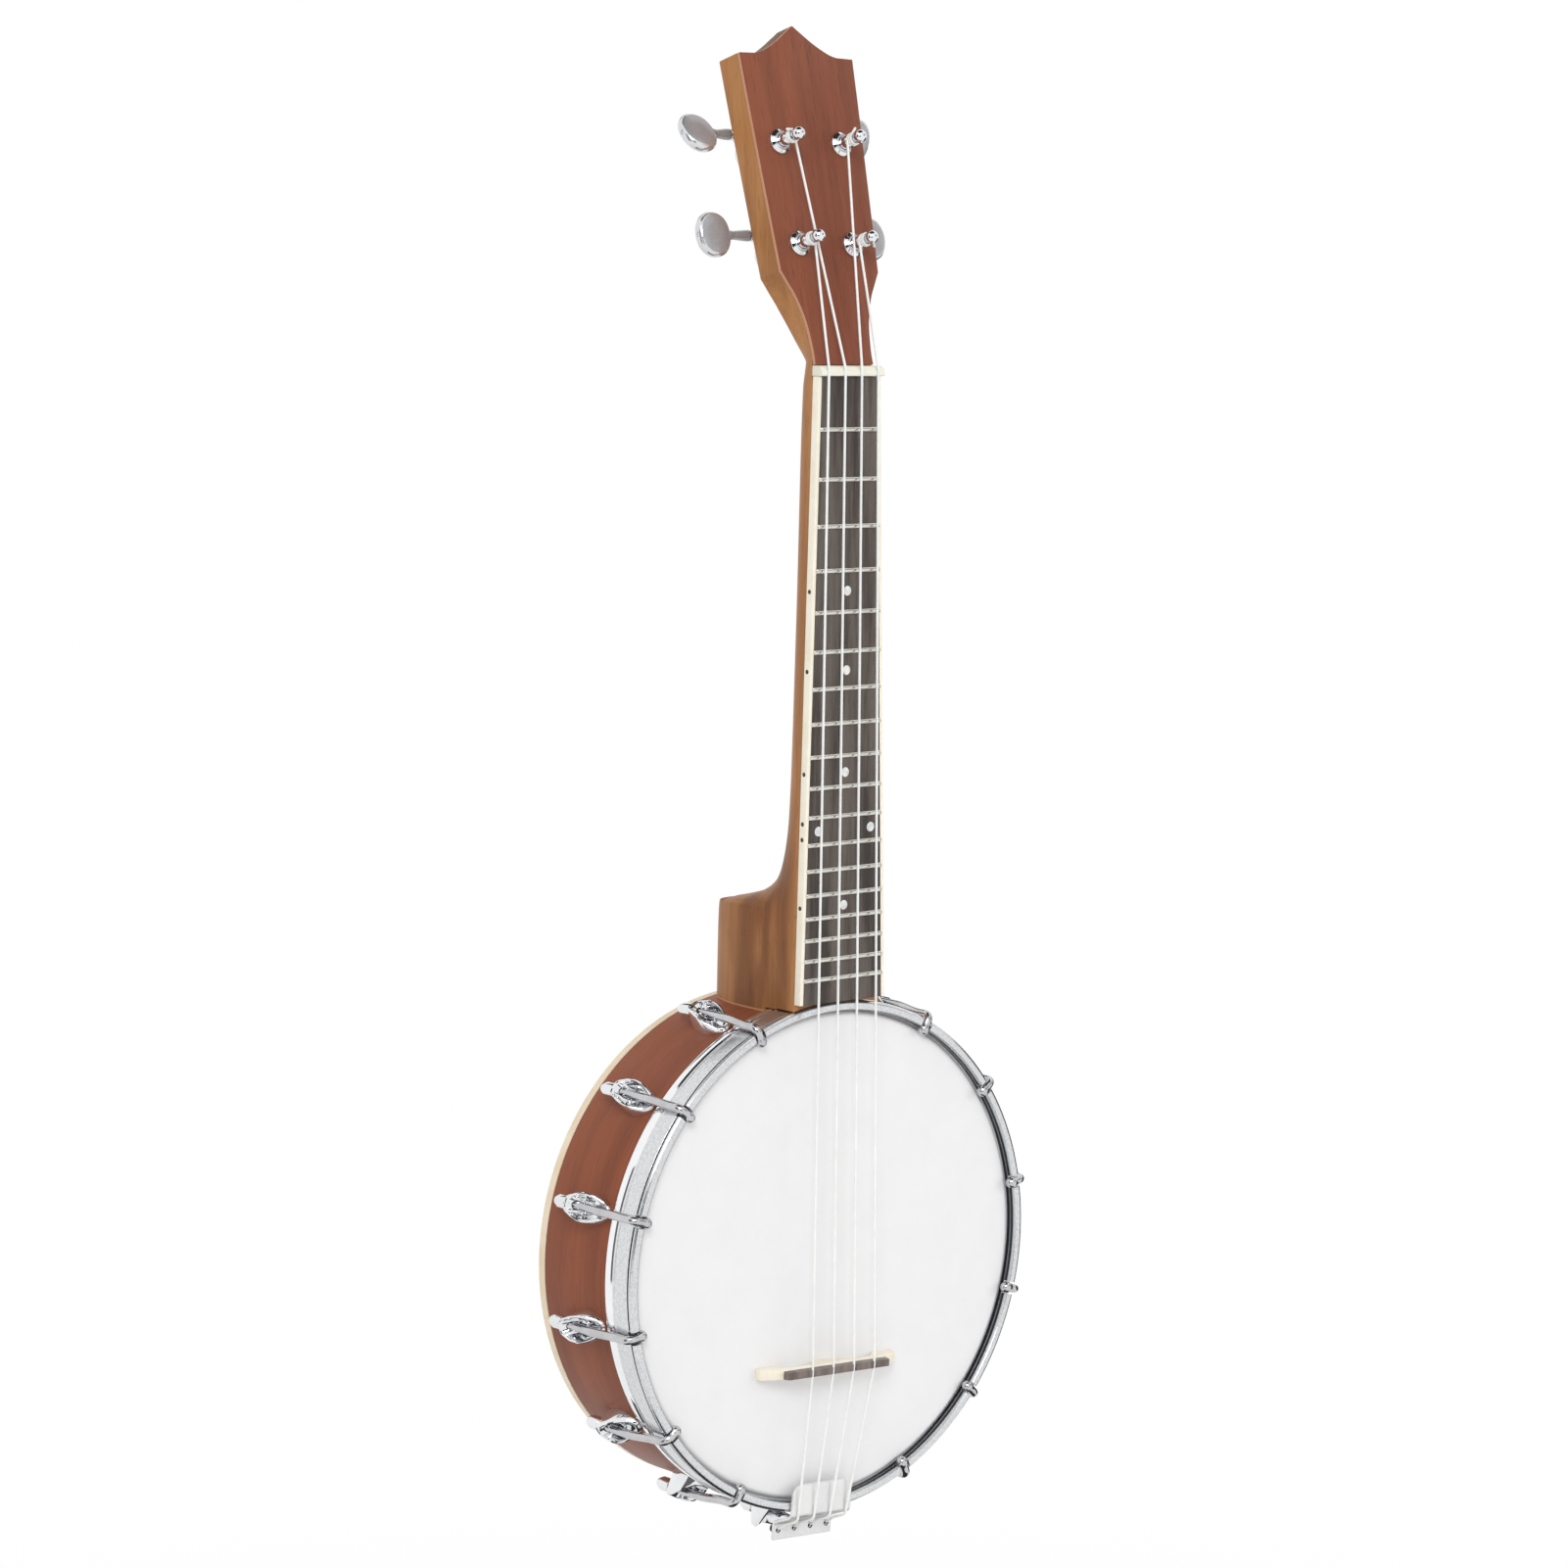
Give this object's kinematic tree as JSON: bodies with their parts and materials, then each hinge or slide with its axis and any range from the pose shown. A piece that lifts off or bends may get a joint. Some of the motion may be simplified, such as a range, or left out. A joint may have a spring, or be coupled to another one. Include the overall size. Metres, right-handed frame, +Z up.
{
  "type": "banjo ukulele",
  "caption": "Small long-necked string instrument with a round drum-like pot, hooked tension hoop, closed wooden back, fretted neck, floating bridge and geared tuning machines.",
  "frame": {"origin": "centre of the back panel's outer face, behind the middle of the pot", "axes": "+Z up the neck to the headstock, +Y out of the back, -Y out of the playing face, +X to the viewer's right when seen from the front"},
  "size_m": [0.228, 0.0715, 0.627],
  "materials": {
    "pot_wood": "satin varnish",
    "neck_wood": "satin varnish",
    "veneer_wood": "satin varnish",
    "board_wood": "oiled",
    "bridge_wood": "plain sanded",
    "cream_binding": "gloss",
    "nut_plastic": "polished",
    "head_film": "matt",
    "rod_steel": "drawn",
    "nylon": "smooth",
    "hoop_plating": "satin plated",
    "chrome_plating": "bright plated"
  },
  "bodies": {
    "body": {"rim": "pot_wood", "tone_ring": "chrome_plating", "drum_head": "head_film", "tension_hoop": "hoop_plating", "back_binding": "cream_binding", "back_panel": "pot_wood", "tailpiece": "chrome_plating", "bridge": "bridge_wood", "tension_hook_01": "chrome_plating", "hook_shoe_01": "chrome_plating", "tension_hook_02": "chrome_plating", "hook_shoe_02": "chrome_plating", "tension_hook_03": "chrome_plating", "hook_shoe_03": "chrome_plating", "tension_hook_04": "chrome_plating", "hook_shoe_04": "chrome_plating", "tension_hook_05": "chrome_plating", "hook_shoe_05": "chrome_plating", "tension_hook_06": "chrome_plating", "hook_shoe_06": "chrome_plating", "tail_bracket": "chrome_plating", "tension_hook_07": "chrome_plating", "hook_shoe_07": "chrome_plating", "tension_hook_08": "chrome_plating", "hook_shoe_08": "chrome_plating", "tension_hook_09": "chrome_plating", "hook_shoe_09": "chrome_plating", "tension_hook_10": "chrome_plating", "hook_shoe_10": "chrome_plating", "tension_hook_11": "chrome_plating", "hook_shoe_11": "chrome_plating", "tension_hook_12": "chrome_plating", "hook_shoe_12": "chrome_plating", "headstock_veneer": "veneer_wood", "post_bushing_1": "chrome_plating", "tuner_housing_1": "chrome_plating", "post_bushing_2": "chrome_plating", "tuner_housing_2": "chrome_plating", "post_bushing_3": "chrome_plating", "tuner_housing_3": "chrome_plating", "post_bushing_4": "chrome_plating", "tuner_housing_4": "chrome_plating", "neck": "neck_wood", "coordinator_rod": "rod_steel", "fretboard": "board_wood", "board_binding_left": "cream_binding", "board_binding_right": "cream_binding", "nut": "nut_plastic", "string_1": "nylon", "string_2": "nylon", "string_3": "nylon", "string_4": "nylon"},
    "key_1": {"tuner_key_1": "chrome_plating"},
    "post_1": {"string_post_1": "chrome_plating"},
    "key_2": {"tuner_key_2": "chrome_plating"},
    "post_2": {"string_post_2": "chrome_plating"},
    "key_3": {"tuner_key_3": "chrome_plating"},
    "post_3": {"string_post_3": "chrome_plating"},
    "key_4": {"tuner_key_4": "chrome_plating"},
    "post_4": {"string_post_4": "chrome_plating"}
  },
  "joints": [
    {"name": "key_1_turn", "type": "hinge", "parent": "body", "child": "key_1", "pos_m": [0, -0.02986, 0.41988], "axis": [1, 0, 0], "continuous": true},
    {"name": "post_1_turn", "type": "hinge", "parent": "body", "child": "post_1", "pos_m": [-0.0142, -0.05133, 0.41675], "axis": [0, 0.9681, -0.2504], "continuous": true},
    {"name": "key_2_turn", "type": "hinge", "parent": "body", "child": "key_2", "pos_m": [0, -0.0193, 0.46073], "axis": [1, 0, 0], "continuous": true},
    {"name": "post_2_turn", "type": "hinge", "parent": "body", "child": "post_2", "pos_m": [-0.0164, -0.04077, 0.45761], "axis": [0, 0.9681, -0.2504], "continuous": true},
    {"name": "key_3_turn", "type": "hinge", "parent": "body", "child": "key_3", "pos_m": [0, -0.0193, 0.46073], "axis": [1, 0, 0], "continuous": true},
    {"name": "post_3_turn", "type": "hinge", "parent": "body", "child": "post_3", "pos_m": [0.0164, -0.04077, 0.45761], "axis": [0, 0.9681, -0.2504], "continuous": true},
    {"name": "key_4_turn", "type": "hinge", "parent": "body", "child": "key_4", "pos_m": [0, -0.02986, 0.41988], "axis": [1, 0, 0], "continuous": true},
    {"name": "post_4_turn", "type": "hinge", "parent": "body", "child": "post_4", "pos_m": [0.0142, -0.05133, 0.41675], "axis": [0, 0.9681, -0.2504], "continuous": true}
  ],
  "couplings": [
    {"joint": "post_1_turn", "follows": "key_1_turn", "ratio": -0.071429},
    {"joint": "post_2_turn", "follows": "key_2_turn", "ratio": -0.071429},
    {"joint": "post_3_turn", "follows": "key_3_turn", "ratio": -0.071429},
    {"joint": "post_4_turn", "follows": "key_4_turn", "ratio": -0.071429}
  ]
}
